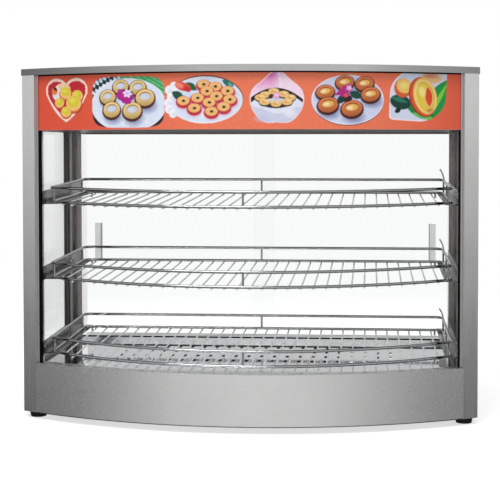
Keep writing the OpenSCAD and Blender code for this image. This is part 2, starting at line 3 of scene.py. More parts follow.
import bpy
import numpy as np
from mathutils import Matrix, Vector


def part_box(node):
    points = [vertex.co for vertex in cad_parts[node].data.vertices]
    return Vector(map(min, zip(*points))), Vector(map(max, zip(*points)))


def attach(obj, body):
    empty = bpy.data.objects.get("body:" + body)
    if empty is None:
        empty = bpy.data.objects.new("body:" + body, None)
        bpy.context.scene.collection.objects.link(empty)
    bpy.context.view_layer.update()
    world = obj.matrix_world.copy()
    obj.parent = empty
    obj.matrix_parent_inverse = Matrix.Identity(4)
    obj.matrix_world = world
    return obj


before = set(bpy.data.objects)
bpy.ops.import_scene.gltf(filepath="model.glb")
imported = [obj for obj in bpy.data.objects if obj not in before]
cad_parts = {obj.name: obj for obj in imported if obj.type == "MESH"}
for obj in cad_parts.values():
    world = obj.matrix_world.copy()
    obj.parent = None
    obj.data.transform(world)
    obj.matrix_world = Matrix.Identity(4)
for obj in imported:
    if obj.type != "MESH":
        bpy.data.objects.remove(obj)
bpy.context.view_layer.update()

# The looks of a bow-fronted hot food display case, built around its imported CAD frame.
# Metres, in the CAD's own frame: X to the right, Y to the back, Z up. Sizes given in
# millimetres carry the unit MM, and the sign's pictures are drawn in millimetres.
MM = 0.001
SIDES = ("left", "right")
SHELVES = ("bottom", "middle", "top")


# ---------------------------------------------------------------- camera and studio

# Brightness of the studio that metals and glass mirror, by direction. A lobe in front of
# the case shows at any height. It goes from straight in front (-1) to straight behind (1).
FRONT_LOBE = [(-1, 0.87), (-0.95, 0.84), (-0.87, 0.71), (-0.78, 0.55), (-0.67, 0.4),
              (-0.55, 0.28), (-0.41, 0.2), (0, 0.1), (1, 0.15)]
# A bright band at the horizon and above, from straight down (-1) to straight up (1)
SKY_BAND = [(-1, 0.1), (-0.22, 0.08), (-0.14, 0.24), (-0.1, 0.4), (-0.04, 0.7), (0.02, 0.93),
            (0.35, 0.88), (0.65, 0.64), (1, 0.52)]
# How much of that band shows, from in front (-1) to behind (1)
BAND_SHARE = [(-1, 1.0), (-0.25, 1.0), (0.1, 0.6), (1, 0.72)]


def set_stops(ramp, stops):
    """Gives a colour ramp grey stops: (place from 0 to 1, value)."""
    while len(ramp.elements) < len(stops):
        ramp.elements.new(1)
    for element, (place, value) in zip(ramp.elements, stops):
        element.position = place
        element.color = (value, value, value, 1)


def add_camera():
    """The camera stands a little to the right of the case, at the height of its top shelf."""
    data = bpy.data.cameras.new("camera")
    data.sensor_width = 36
    data.lens = 89.1
    data.shift_x = -0.06
    data.shift_y = -0.12
    camera = bpy.data.objects.new("camera", data)
    camera.location = (0.2269, -2.4298, 0.5056)
    pitch, turn = -0.0327, 0.0728
    camera.rotation_euler = (math.pi / 2 + pitch, 0, turn)
    bpy.context.scene.collection.objects.link(camera)
    bpy.context.scene.camera = camera


def add_softbox(name, place, target, size, power, mirrored=True):
    """A rectangular area light that faces target. mirrored is whether metals show it."""
    data = bpy.data.lights.new(name, "AREA")
    data.shape = "RECTANGLE"
    data.size, data.size_y = size
    data.energy = power
    lamp = bpy.data.objects.new(name, data)
    lamp.location = place
    lamp.rotation_euler = (Vector(target) - Vector(place)).to_track_quat("-Z", "Y").to_euler()
    lamp.visible_glossy = mirrored
    bpy.context.scene.collection.objects.link(lamp)


def add_world():
    """A studio that the camera sees as plain white. Everything else is lit by a bright
    front, a dimmer back, and dark below."""
    world = bpy.data.worlds.new("studio")
    bpy.context.scene.world = world
    world.use_nodes = True
    nodes, links = world.node_tree.nodes, world.node_tree.links
    shown = nodes["Background"]
    shown.inputs["Color"].default_value = (1, 1, 1, 1)
    shown.inputs["Strength"].default_value = 1.0

    lit = nodes.new("ShaderNodeBackground")
    axes = nodes.new("ShaderNodeSeparateXYZ")
    links.new(nodes.new("ShaderNodeTexCoord").outputs["Generated"], axes.inputs[0])

    def brightness(axis, stops):
        """Brightness along one axis of the direction, which runs from -1 to 1."""
        place = nodes.new("ShaderNodeMapRange")
        place.inputs["From Min"].default_value = -1
        links.new(axes.outputs[axis], place.inputs["Value"])
        ramp = nodes.new("ShaderNodeValToRGB")
        set_stops(ramp.color_ramp, [(0.5 + at / 2, value) for at, value in stops])
        links.new(place.outputs[0], ramp.inputs[0])
        return ramp.outputs["Color"]

    def mixed(blend, first, second):
        node = nodes.new("ShaderNodeMix")
        node.data_type = "RGBA"
        node.blend_type = blend
        node.inputs[0].default_value = 1
        links.new(first, node.inputs[6])
        links.new(second, node.inputs[7])
        return node.outputs[2]

    band = mixed("MULTIPLY", brightness("Z", SKY_BAND), brightness("Y", BAND_SHARE))
    links.new(mixed("LIGHTEN", brightness("Y", FRONT_LOBE), band), lit.inputs["Color"])
    lit.inputs["Strength"].default_value = 1.0

    mix = nodes.new("ShaderNodeMixShader")
    links.new(nodes.new("ShaderNodeLightPath").outputs["Is Camera Ray"], mix.inputs[0])
    links.new(lit.outputs[0], mix.inputs[1])
    links.new(shown.outputs[0], mix.inputs[2])
    links.new(mix.outputs[0], nodes["World Output"].inputs["Surface"])


def add_floor():
    """A plain pale round floor that fades into the studio and that mirrors don't show."""
    reach, fade_start, fade_end = 2.6, 0.9, 2.3
    corners = 96
    turns = [2 * math.pi * i / corners for i in range(corners)]
    rim = [(reach * math.cos(turn), reach * math.sin(turn), 0) for turn in turns]
    mesh = bpy.data.meshes.new("floor")
    mesh.from_pydata(rim, [], [tuple(range(corners))])
    floor = bpy.data.objects.new("floor", mesh)
    bpy.context.scene.collection.objects.link(floor)
    look = Look("floor_paint", {"Base Color": (0.35, 0.35, 0.35, 1), "Roughness": 0.9,
                                "Emission Color": (1, 1, 1, 1), "Emission Strength": 0.65,
                                "Specular IOR Level": 0.1})
    radius = look.add("VectorMath", {"operation": "LENGTH"})
    look.tree.links.new(look.place(), radius.inputs[0])
    fade = look.add("MapRange", {"interpolation_type": "SMOOTHSTEP"},
                    Value=radius.outputs["Value"], From_Min=fade_start, From_Max=fade_end)
    mirrored = look.add("LightPath").outputs["Is Glossy Ray"]
    gone = look.maths("MAXIMUM", fade.outputs[0], mirrored)
    clear = look.add("BsdfTransparent")
    look.blend(gone, look.shader.outputs[0], clear.outputs[0])
    mesh.materials.append(look.material)


# ---------------------------------------------------------------- materials

STEEL = (0.66, 0.66, 0.655)
# Name under which the film's mesh keeps its colours, and how light they are kept
INK = "ink"
INK_STRENGTH = 0.64

# How fine the brush marks and the dull clouds of a metal are, and how far the marks are
# drawn out along the grain
FINE_MARKS, WIDE_MARKS, CLOUDS = 2600, 420, 9
BRUSH_STRETCH = 0.02
# How deep under a face the step lies that tells it from the rest of its piece
SKIN = 0.2 * MM
# Least value of the painted shade on the lid's top face, so that the top is painted light all
# over
LID_TOP_PAINTED_LIGHT = 0.9


class Look:
    """A Principled material, with short calls for the nodes that feed it."""

    def __init__(self, name, values):
        self.material = bpy.data.materials.new(name)
        self.material.use_nodes = True
        self.tree = self.material.node_tree
        self.shader = self.tree.nodes["Principled BSDF"]
        for key, value in values.items():
            self.shader.inputs[key].default_value = value

    def add(self, kind, settings=None, **inputs):
        """A new node. Inputs are sockets to link or values to set, by socket name."""
        node = self.tree.nodes.new("ShaderNode" + kind)
        for key, value in (settings or {}).items():
            setattr(node, key, value)
        for key, value in inputs.items():
            self.give(node.inputs[key.replace("_", " ")], value)
        return node

    def give(self, socket, value):
        """Links a socket to another one, or sets it to a value."""
        if isinstance(value, bpy.types.NodeSocket):
            self.tree.links.new(value, socket)
        else:
            socket.default_value = value

    def feed(self, key, socket):
        self.tree.links.new(socket, self.shader.inputs[key])

    def place(self, scale=(1, 1, 1)):
        """Coordinates that stay with the piece, stretched by scale."""
        coords = self.add("TexCoord").outputs["Object"]
        return self.add("Mapping", Vector=coords, Scale=scale).outputs[0]

    def noise(self, vector, scale, detail=3, rough=0.55):
        node = self.add("TexNoise", Vector=vector, Scale=scale, Detail=detail, Roughness=rough)
        return node.outputs["Factor" if "Factor" in node.outputs else "Fac"]

    def spread(self, value, low, high, start=0.3, end=0.7):
        """value mapped from start..end to low..high."""
        node = self.add("MapRange", Value=value, From_Min=start, From_Max=end,
                        To_Min=low, To_Max=high)
        return node.outputs[0]

    def maths(self, operation, *values):
        """The result of a sum on values or sockets."""
        node = self.add("Math", {"operation": operation})
        for socket, value in zip(node.inputs, values):
            self.give(socket, value)
        return node.outputs[0]

    def times(self, a, b):
        return self.maths("MULTIPLY", a, b)

    def tint(self, colour, shade):
        """colour, given as RGBA or a socket, times a varying shade, as the base colour."""
        joined = self.add("CombineColor", Red=shade, Green=shade, Blue=shade).outputs[0]
        node = self.add("Mix", {"data_type": "RGBA", "blend_type": "MULTIPLY"})
        share, first, second = node.inputs[0], node.inputs[6], node.inputs[7]
        for socket, value in ((share, 1), (first, colour), (second, joined)):
            self.give(socket, value)
        tinted = node.outputs[2]
        self.feed("Base Color", tinted)
        return tinted

    def blend(self, share, first, second):
        """The surface is first, turning into second as share goes to 1."""
        mix = self.add("MixShader")
        for socket, value in zip(mix.inputs, (share, first, second)):
            self.tree.links.new(value, socket)
        self.tree.links.new(mix.outputs[0], self.tree.nodes["Material Output"].inputs["Surface"])

    def along(self, axis, stops):
        """A value that changes along an axis of the piece. stops are (metres, value)."""
        start, end = stops[0][0], stops[-1][0]
        coords = self.add("SeparateXYZ", Vector=self.place()).outputs[axis]
        ramp = self.add("ValToRGB")
        self.tree.links.new(self.spread(coords, 0.0, 1.0, start, end), ramp.inputs[0])
        set_stops(ramp.color_ramp, [((at - start) / (end - start), value) for at, value in stops])
        return ramp.outputs["Color"]

    def step(self, axis, at, near, far):
        """near where the piece is within at of the frame's origin along an axis, else far."""
        turnover = 0.05 * MM
        coords = self.add("SeparateXYZ", Vector=self.place()).outputs[axis]
        return self.spread(self.maths("ABSOLUTE", coords), near, far, at, at + turnover)

    def bump(self, height, strength, distance):
        node = self.add("Bump", Height=height, Strength=strength, Distance=distance)
        self.feed("Normal", node.outputs[0])


def metal(name, colour, rough, grain, streak=0.07, painted_shade=None, top=None, painted_glint=None):
    """Brushed metal. grain is the axis that the brush marks run along, and streak their
    contrast. The next argument, (axis, stops), paints light and shade into the colour along an
    axis, and top is the height of a face painted light all over. The last, (axis, at, near,
    far) as in Look.step, is a painted highlight: how strongly edges glow."""
    look = Look(name, {"Metallic": 1.0, "Roughness": rough})
    stretch = [BRUSH_STRETCH if axis == grain else 1.0 for axis in "XYZ"]
    marks = look.place(stretch)
    fine = look.noise(marks, FINE_MARKS, 2)
    wide = look.noise(marks, WIDE_MARKS, 3)
    cloud = look.noise(look.place(), CLOUDS, 3)
    shade = look.times(look.spread(fine, 1 - streak, 1 + streak),
                       look.spread(wide, 1 - streak / 2, 1 + streak / 2))
    shade = look.times(shade, look.spread(cloud, 0.97, 1.03))
    # The colour is painted lighter and darker along an axis, as painted light and shade; a top
    # face is kept painted light
    if painted_shade:
        least = look.step("Z", top - SKIN, 0, LID_TOP_PAINTED_LIGHT) if top else 0
        shade = look.times(shade, look.maths("MAXIMUM", look.along(*painted_shade), least))
    look.tint((*colour, 1), shade)
    look.feed("Roughness", look.spread(wide, rough - 0.04, rough + 0.05))
    look.bump(fine, 0.12, 0.05 * MM)
    # Edges that glow: a painted highlight
    if painted_glint:
        look.shader.inputs["Emission Color"].default_value = (1, 1, 1, 1)
        look.feed("Emission Strength", look.step(*painted_glint))
    return look.material


def satin(name, colour, rough, glow, painted_shade):
    """Pale anodised metal with a half matt skin, drawn along Z. glow makes it glow with its own
    colour, as painted light. The last argument, (axis, at, near, far) as in Look.step, is
    painted shade: the metal's colour on both sides of a step."""
    look = Look(name, {"Roughness": rough, "Emission Strength": glow})
    skin = look.noise(look.place((1, 1, 0.03)), 1500, 2)
    shade = look.times(look.spread(skin, 0.95, 1.03), look.step(*painted_shade))
    # It glows with its own colour, painted darker on one side of a step: painted light and shade
    look.feed("Emission Color", look.tint((*colour, 1), shade))
    look.feed("Roughness", look.spread(skin, rough - 0.05, rough + 0.05))
    return look.material


def chrome(name, colour):
    """Plated wire with faint handling marks."""
    look = Look(name, {"Metallic": 1.0, "Roughness": 0.1})
    dull = look.noise(look.place(), 60, 4)
    look.tint((*colour, 1), look.spread(dull, 0.94, 1.03))
    look.feed("Roughness", look.spread(dull, 0.04, 0.1))
    return look.material


def clear_glass(name, tint):
    """Thin clear glass: it lets light straight through and mirrors a little, most where it
    is seen edge on."""
    face_on, most = 0.031, 0.24
    look = Look(name, {})
    look.tree.nodes.remove(look.shader)
    smear = look.noise(look.place(), 5, 2)
    clear = look.add("BsdfTransparent", Color=(*tint, 1))
    mirror = look.add("BsdfGlossy", Color=(1, 1, 1, 1),
                      Roughness=look.spread(smear, 0.01, 0.05))
    slant = look.add("Fresnel", IOR=1.45).outputs[0]
    share = look.spread(slant, 0.0, most, face_on, 1.0)
    look.blend(share, clear.outputs[0], mirror.outputs[0])
    return look.material


def moulded(name, colour, rough, grain=900, sheen=0.03, glow=0.0, gloss=0.5):
    """Moulded plastic or rubber with a fine texture. grain is how fine it is, and sheen
    its contrast."""
    look = Look(name, {"Roughness": rough, "Specular IOR Level": gloss})
    skin = look.noise(look.place(), grain, 3)
    cloud = look.noise(look.place(), 40, 2)
    look.tint((*colour, 1), look.times(look.spread(skin, 1 - sheen, 1 + sheen),
                                       look.spread(cloud, 0.95, 1.05)))
    look.feed("Roughness", look.spread(skin, rough - 0.05, rough + 0.05))
    look.bump(skin, 0.25, 0.08 * MM)
    if glow:
        look.shader.inputs["Emission Color"].default_value = (*colour, 1)
        look.shader.inputs["Emission Strength"].default_value = glow
    return look.material


def printed_film():
    """Glossy printed film, lit from behind. Its ink is the mesh's own colours."""
    look = Look("sign_ink", {"Roughness": 0.45, "Specular IOR Level": 0.25,
                             "Coat Weight": 0.1, "Coat Roughness": 0.15,
                             "Emission Strength": 0.2})
    printed = look.add("Attribute", {"attribute_name": INK}).outputs["Color"]
    grain = look.noise(look.place(), 700, 2)
    look.feed("Emission Color", look.tint(printed, look.spread(grain, 0.97, 1.03)))
    look.feed("Roughness", look.spread(grain, 0.4, 0.5))
    return look.material


# Painted light and shade of the steel along the width of the lid and the apron, and up the
# front posts: the colour is painted lighter and darker to stand in for how the light falls
LID_PAINTED_SHADE = [(-0.43, 0.27), (-0.36, 0.33), (-0.2, 0.58), (-0.08, 0.72), (0.08, 0.75), (0.2, 0.8),
            (0.3, 0.6), (0.43, 0.44)]
APRON_PAINTED_SHADE = [(-0.43, 0.83), (-0.31, 0.9), (-0.2, 0.98), (-0.12, 1.05), (0, 1.02), (0.12, 1.0),
              (0.24, 0.93), (0.33, 0.9), (0.43, 0.98)]
POST_PAINTED_SHADE = [(0, 0.8), (0.12, 0.87), (0.26, 0.97), (0.66, 1.0)]


def make_materials():
    """Every material by its name."""
    stile_in, _, track_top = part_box("door_track_bottom")[1]
    # The standing fin at a pull's inner edge is painted darker than its foot, as painted shade
    fin_thick = 1.8 * MM
    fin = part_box("door_right_handle")[0].x + fin_thick
    # The shelf supports are painted dark at their front ends, as painted shade on the flanges
    # that face the front
    front_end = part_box("shelf_supports_left")[0].y
    dark, light, past_rear = 12 * MM, 30 * MM, 400 * MM
    support_painted_shade = [(front_end, 0.4), (front_end + dark, 0.45), (front_end + light, 1),
                    (front_end + past_rear, 1.1)]
    return {
        # The lid, the apron and the front posts carry painted light and shade in their colour
        "apron_steel": metal("apron_steel", STEEL, 0.27, "X", 0.05, ("X", APRON_PAINTED_SHADE)),
        "lid_steel": metal("lid_steel", STEEL, 0.3, "X", 0.05, ("X", LID_PAINTED_SHADE),
                           top=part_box("lid")[1].z),
        "post_steel": metal("post_steel", STEEL, 0.24, "Z", 0.03, ("Z", POST_PAINTED_SHADE)),
        "trim_steel": metal("trim_steel", (0.5, 0.5, 0.5), 0.35, "Z", 0.05),
        "case_steel": metal("case_steel", STEEL, 0.32, "X"),
        "side_steel": metal("side_steel", STEEL, 0.32, "Y"),
        # The rear posts' inner edges glow: a painted highlight
        "dark_steel": metal("dark_steel", (0.27, 0.25, 0.25), 0.28, "Z", 0.2,
                            painted_glint=("X", stile_in + SKIN, 0.7, 0)),
        "shade_steel": metal("shade_steel", (0.16, 0.132, 0.126), 0.3, "X", 0.25),
        "deck_steel": metal("deck_steel", (0.76, 0.765, 0.79), 0.05, "X", 0.03),
        # The track's top face glows: a painted highlight
        "track_steel": metal("track_steel", (0.82, 0.82, 0.83), 0.15, "X", 0.08,
                             painted_glint=("Z", track_top - SKIN, 0, 0.25)),
        # The pulls glow as painted light, and their fins are painted darker as painted shade
        "pull_aluminium": satin("pull_aluminium", (0.84, 0.84, 0.84), 0.35, 0.3,
                                ("X", fin, 0.4, 1)),
        "dial_aluminium": metal("dial_aluminium", (0.6, 0.6, 0.6), 0.3, "X"),
        "support_steel": metal("support_steel", (0.3, 0.29, 0.29), 0.22, "Y", 0.12,
                               ("Y", support_painted_shade)),
        "screw_steel": metal("screw_steel", (0.6, 0.6, 0.6), 0.3, "Z"),
        "element_steel": metal("element_steel", (0.2, 0.17, 0.15), 0.5, "X", 0.15),
        "brass": metal("brass", (0.75, 0.56, 0.27), 0.28, "Y"),
        "copper": metal("copper", (0.80, 0.42, 0.27), 0.3, "X"),
        # The rails are painted darker and the wires lighter than the same plating: painted shade
        # and painted light
        "chrome_rail": chrome("chrome_rail", (0.43, 0.43, 0.44)),
        "chrome_wire": chrome("chrome_wire", (0.9, 0.9, 0.91)),
        "glass": clear_glass("clear_glass", (0.985, 0.99, 0.987)),
        "seal": moulded("seal_rubber", (0.004, 0.004, 0.004), 0.8, gloss=0.06),
        "side_seal": moulded("side_seal_rubber", (0.06, 0.058, 0.058), 0.7, gloss=0.3),
        "foot_rubber": moulded("foot_rubber", (0.006, 0.006, 0.006), 0.7, 1500, gloss=0.2),
        "black_plastic": moulded("black_plastic", (0.012, 0.012, 0.013), 0.42, 2200),
        "ivory_plastic": moulded("ivory_plastic", (0.74, 0.71, 0.62), 0.4),
        "opal_plastic": moulded("opal_plastic", (0.86, 0.86, 0.85), 0.3, glow=0.25),
        "tube_glass": moulded("tube_glass", (0.95, 0.94, 0.9), 0.2, glow=1.2),
        "red_plastic": moulded("red_plastic", (0.55, 0.02, 0.015), 0.22, glow=0.15),
        "green_plastic": moulded("green_plastic", (0.02, 0.36, 0.08), 0.22, glow=0.15),
        "amber_plastic": moulded("amber_plastic", (0.85, 0.30, 0.03), 0.15, glow=0.4),
        "grey_plastic": moulded("grey_plastic", (0.23, 0.25, 0.27), 0.45),
        "loom_rubber": moulded("loom_rubber", (0.07, 0.045, 0.03), 0.55),
        "white_ink": moulded("white_ink", (0.8, 0.8, 0.8), 0.5, sheen=0.02),
        "black_ink": moulded("black_ink", (0.02, 0.02, 0.02), 0.5, sheen=0.02),
        "sign_ink": printed_film(),
    }


# Which material each CAD node wears
WEARS = {
    "apron_steel": ["front_apron"],
    "lid_steel": ["lid"],
    "post_steel": ["front_post_left", "front_post_right"],
    "case_steel": ["rear_control_panel", "rear_top_panel", "base_pan", "heat_shield",
                   "element_brackets"],
    "side_steel": ["side_base_left", "side_base_right", "side_top_left", "side_top_right"],
    "dark_steel": ["rear_post_left", "rear_post_right"],
    "shade_steel": ["door_track_top", "ceiling_panel"],
    "deck_steel": ["deck"],
    "track_steel": ["door_track_bottom"],
    "pull_aluminium": ["door_left_handle", "door_right_handle"],
    "dial_aluminium": ["dial_plate"],
    "support_steel": ["shelf_supports_left", "shelf_supports_right"],
    "screw_steel": ["support_screws", "foot_screws", "panel_screws"],
    "element_steel": ["heating_elements"],
    "brass": ["thermostat_shaft"],
    "copper": ["thermostat_bulb"],
    "chrome_rail": [f"shelf_{shelf}_rails" for shelf in SHELVES],
    "chrome_wire": [f"shelf_{shelf}_wires" for shelf in SHELVES],
    "glass": ["front_glass", "side_glass_left", "side_glass_right", "door_left_glass",
              "door_right_glass"],
    "seal": ["front_seals"],
    "side_seal": ["side_seals"],
    "foot_rubber": ["feet"],
    "black_plastic": ["door_left_glides", "door_right_glides", "thermostat_knob",
                      "switch_housings", "cable_gland"],
    "ivory_plastic": ["lamp_holders", "terminal_block"],
    "opal_plastic": ["lamp_diffuser", "header_sign"],
    "tube_glass": ["lamp_tube"],
    "red_plastic": ["heat_switch_rocker"],
    "green_plastic": ["light_switch_rocker"],
    "amber_plastic": ["pilot_lamps"],
    "grey_plastic": ["thermostat_body"],
    "loom_rubber": ["wiring_loom"],
}


def dress_nodes(materials):
    """Gives every CAD node its material."""
    for name, nodes in WEARS.items():
        for node in nodes:
            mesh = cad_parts[node].data
            mesh.materials.clear()
            mesh.materials.append(materials[name])
    undressed = set(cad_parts) - {node for nodes in WEARS.values() for node in nodes}
    assert not undressed, undressed


# ---------------------------------------------------------------- pieces

def add_piece(name, points, faces, material, body, slot=None, smooth=False):
    """A mesh piece that rides on a body. The slot argument is not used."""
    mesh = bpy.data.meshes.new(name)
    mesh.from_pydata([tuple(p) for p in points], [], faces)
    mesh.materials.append(material)
    if smooth:
        mesh.shade_smooth()
    mesh.update()
    piece = bpy.data.objects.new(name, mesh)
    bpy.context.scene.collection.objects.link(piece)
    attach(piece, body)
    return piece


def bow_circle(node):
    """Radius and axis Y of the outermost bowed face of a CAD node."""
    near = 0.2 * MM
    points = np.array([v.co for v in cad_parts[node].data.vertices])
    apex = points[:, 1].min()
    edge_x = points[:, 0].max()
    edge_y = points[points[:, 0] > edge_x - near][:, 1].min()
    depth = edge_y - apex
    radius = (edge_x ** 2 + depth ** 2) / (2 * depth)
    return radius, apex + radius


# ---------------------------------------------------------------- the sign's pictures

def ink(red, green, blue):
    """Linear colour of a display colour given from 0 to 255."""
    return (np.array([red, green, blue]) / 255.0) ** 2.2


PLATE = ink(214, 222, 240)
SHADE = ink(92, 100, 150)
DARK = ink(40, 22, 26)
BROWN = ink(78, 34, 30)
ORANGE_END = ink(214, 78, 54)
ORANGE_LIT = ink(233, 118, 86)
# Width of a painted edge, in millimetres
SOFT = 1.3


class Canvas:
    """The sign's face as a grid of millimetre points, painted with shapes in turn.
    s runs along the bow from its middle, and z up from the lower edge."""

    def __init__(self, s, z):
        self.s, self.z = np.meshgrid(s, z)
        self.colour = np.zeros(self.s.shape + (3,))

    def lay(self, cover, colour):
        """Paints each point by its cover, from 0 to 1."""
        cover = np.clip(cover, 0, 1)[..., None]
        self.colour = self.colour * (1 - cover) + colour * cover

    def oval(self, s, z, width, height, tilt=0.0):
        """Place across and up in a tilted oval, 1 on its outline."""
        c, k = math.cos(math.radians(tilt)), math.sin(math.radians(tilt))
        ds, dz = self.s - s, self.z - z
        return (ds * c + dz * k) / (width / 2), (dz * c - ds * k) / (height / 2)

    def fill(self, reach, size, colour, soft=SOFT):
        """Paints where reach is under 1; size turns it into millimetres."""
        self.lay(0.5 + (1 - reach) * size / soft, colour)

    def disc(self, s, z, width, height, colour, tilt=0.0, soft=SOFT):
        u, v = self.oval(s, z, width, height, tilt)
        self.fill(np.hypot(u, v), min(width, height) / 2, colour, soft)

    def window(self, reach, size):
        """What is painted so far, and which points lie inside an outline."""
        return self.colour.copy(), np.clip(0.5 + (1 - reach) * size / SOFT, 0, 1)[..., None]

    def glow(self, s, z, width, height, colour, strength, tilt=0.0):
        """A soft spot that fades to its outline."""
        u, v = self.oval(s, z, width, height, tilt)
        self.lay(strength * np.clip(1 - u * u - v * v, 0, 1), colour)

    def petals(self, s, z, size, count, colour, turn=0.0, depth=0.45):
        """A flower with round petals; depth is how far they are cut in."""
        u, v = self.oval(s, z, size, 0.85 * size)
        lobe = 1 - depth + depth * np.abs(np.cos(count / 2 * (np.arctan2(v, u) + turn)))
        self.fill(np.hypot(u, v) / lobe, size / 2, colour)

    def leaf(self, s, z, length, width, tilt, colour):
        """A leaf with two pointed ends."""
        u, v = self.oval(s, z, length, width, tilt)
        self.fill(np.abs(v) + u * u, width / 2, colour)

    def plate(self, s, z, width, height, colour=PLATE):
        """A plate with a bright rim and a shaded well."""
        self.disc(s, z, width, height, ink(240, 238, 246))
        self.disc(s, z, width - 3, height - 3, colour)
        self.glow(s, z - 0.05 * height, 0.86 * width, 0.8 * height, ink(190, 202, 232), 0.5)
        self.glow(s + 0.05 * width, z - 0.29 * height, 0.5 * width, 0.24 * height,
                  ink(240, 243, 252), 0.7)

    def cup(self, s, z, size, height, crust, line, filling, tilt=0.0, gleam=0.5):
        """A fluted pastry cup seen from above and in front, with a dark outline."""
        flutes = 22
        self.glow(s + 3, z - 0.45 * height, 1.3 * size, 1.1 * height, SHADE, 0.85)
        u, v = self.oval(s, z - 0.07 * height, 1.09 * size, 1.16 * height, tilt)
        flute = 1 + 0.012 * np.sin(flutes * np.arctan2(v, u))
        self.fill(np.hypot(u, v) / flute, height / 2, line)
        u, v = self.oval(s, z, 0.94 * size, 0.94 * height, tilt)
        wave = np.sin(flutes * np.arctan2(v, u))
        flute = 1 + 0.015 * wave
        ribs = 1 + 0.16 * wave * (v < 0)
        lit = (np.clip(0.9 + 0.34 * v, 0.5, 1.1) * ribs)[..., None] * crust
        self.fill(np.hypot(u, v) / flute, height / 2, lit)
        self.disc(s, z + 0.1 * height, 0.62 * size, 0.5 * height, crust * 0.42, tilt)
        self.disc(s, z + 0.06 * height, 0.56 * size, 0.4 * height, filling, tilt)
        self.glow(s - 0.08 * size, z + 0.04 * height, 0.4 * size, 0.3 * height,
                  ink(255, 248, 225), gleam, tilt)

    def mottle(self, strength):
        """Fine unevenness of the print, in blots some points wide, the same on every run."""
        blot = 3
        rng = np.random.default_rng(7)
        rows, columns = self.s.shape
        coarse = rng.uniform(-1, 1, (rows // blot + 2, columns // blot + 2))
        row, column = np.arange(rows) / blot, np.arange(columns) / blot
        r0, c0 = row.astype(int), column.astype(int)
        fr, fc = (row - r0)[:, None], (column - c0)[None, :]
        field = ((1 - fr) * ((1 - fc) * coarse[r0][:, c0] + fc * coarse[r0][:, c0 + 1])
                 + fr * ((1 - fc) * coarse[r0 + 1][:, c0] + fc * coarse[r0 + 1][:, c0 + 1]))
        self.colour *= 1 + strength * field[..., None]


def paint_heart(canvas):
    """Yellow tarts on a red heart with a pale scalloped edge."""
    middle, half = -340.5, 48.5
    far = np.abs((canvas.s - middle) / half)
    lobe = (far - 0.48) / np.where(far < 0.48, 0.62, 0.54)
    upper = 67 + 30 * np.sqrt(np.clip(1 - lobe ** 2, 0, 1))
    lower = 12 + 28 * far + 28 * far ** 2.6
    depth = np.minimum((upper - canvas.z) * 0.8, (canvas.z - lower) * 0.62)
    depth = np.minimum(depth, (1 - far) * 48)
    soft = 1.2
    canvas.lay(depth / soft + 0.5, ink(170, 88, 66))
    canvas.lay((depth - 0.8) / soft, ink(249, 208, 194))
    scallop = 5.2 + 0.8 * np.sin(canvas.s * 0.9) * np.sin(canvas.z * 0.9)
    canvas.lay((depth - scallop) / soft, ink(180, 22, 40))
    knots = np.sin(canvas.s * 1.3 + 0.4 * np.sin(canvas.z)) * np.sin(canvas.z * 1.2)
    canvas.lay(0.4 * (knots > 0.45) * (depth > scallop + 1), ink(222, 70, 80))
    canvas.disc(-352, 68, 38, 34, ink(236, 216, 208), 30)
    canvas.disc(-345, 78, 28, 14, ink(228, 196, 150), -10)
    canvas.disc(-366, 66, 12, 18, ink(216, 218, 220))
    canvas.disc(-367, 72, 14, 14, ink(216, 120, 66))
    canvas.leaf(-366, 76, 12, 6, -40, ink(62, 44, 20))
    yellow, side, crust = ink(206, 192, 46), ink(208, 92, 52), ink(240, 182, 110)
    for s, z, size in ((-316, 63, 25), (-342, 69, 26), (-356, 51, 21), (-324, 50, 34),
                       (-341, 34, 23)):
        canvas.disc(s, z - 0.12 * size, 1.12 * size, 0.96 * size, ink(128, 34, 34))
        canvas.disc(s, z - 0.11 * size, 1.04 * size, 0.9 * size, side)
        canvas.disc(s, z - 0.03 * size, 0.98 * size, 0.84 * size, crust)
        canvas.disc(s, z + 0.05 * size, 0.76 * size, 0.62 * size, yellow)
        canvas.glow(s - 2, z + 0.12 * size, 0.6 * size, 0.4 * size, ink(226, 216, 90), 0.7)


def paint_round_plate(canvas):
    """Six pale tarts and an orchid on a round plate, in a rounded square."""
    u, v = canvas.oval(-211.5, 49.5, 143, 92)
    square = (np.abs(u) ** 5 + np.abs(v) ** 5) ** (1 / 5)
    size = 45
    under, inside = canvas.window(square, size)
    canvas.fill(square, size, ink(20, 24, 46))
    leaves = (u + 0.6 * v > 0.35) & (v > 0)
    veins = np.sin(canvas.s * 0.5 + canvas.z * 0.9) > 0.5
    canvas.lay(leaves, ink(52, 158, 92))
    canvas.lay(0.7 * (leaves & veins), ink(128, 205, 150))
    cloth = (u < -0.2) & (v > 0.3)
    spots = np.sin(canvas.s * 0.42) * np.sin(canvas.z * 0.4 + canvas.s * 0.2) > 0.05
    canvas.lay(cloth, ink(24, 46, 44))
    canvas.lay(cloth & spots, ink(196, 216, 236))
    canvas.plate(-211, 44, 148, 96)
    cream = ink(196, 200, 216)
    for s, z, tart in ((-225, 77, 32), (-191, 75, 33), (-251, 59, 33), (-177, 57, 38),
                       (-243, 36, 36), (-202, 34, 38)):
        canvas.cup(s, z, tart, 0.82 * tart, ink(232, 196, 124), BROWN, cream, 5, 0.15)
    canvas.disc(-216, 62, 34, 22, ink(58, 30, 62))
    canvas.petals(-222, 63, 26, 5, ink(176, 30, 140), 0.4)
    canvas.disc(-214, 52, 22, 12, ink(170, 24, 130), -15)
    canvas.disc(-204, 59, 12, 14, ink(150, 40, 130), 20)
    canvas.petals(-211, 65, 19, 6, ink(228, 214, 240), 0.2)
    canvas.disc(-211, 65, 5, 4, ink(206, 150, 214))
    canvas.colour = under * (1 - inside) + canvas.colour * inside


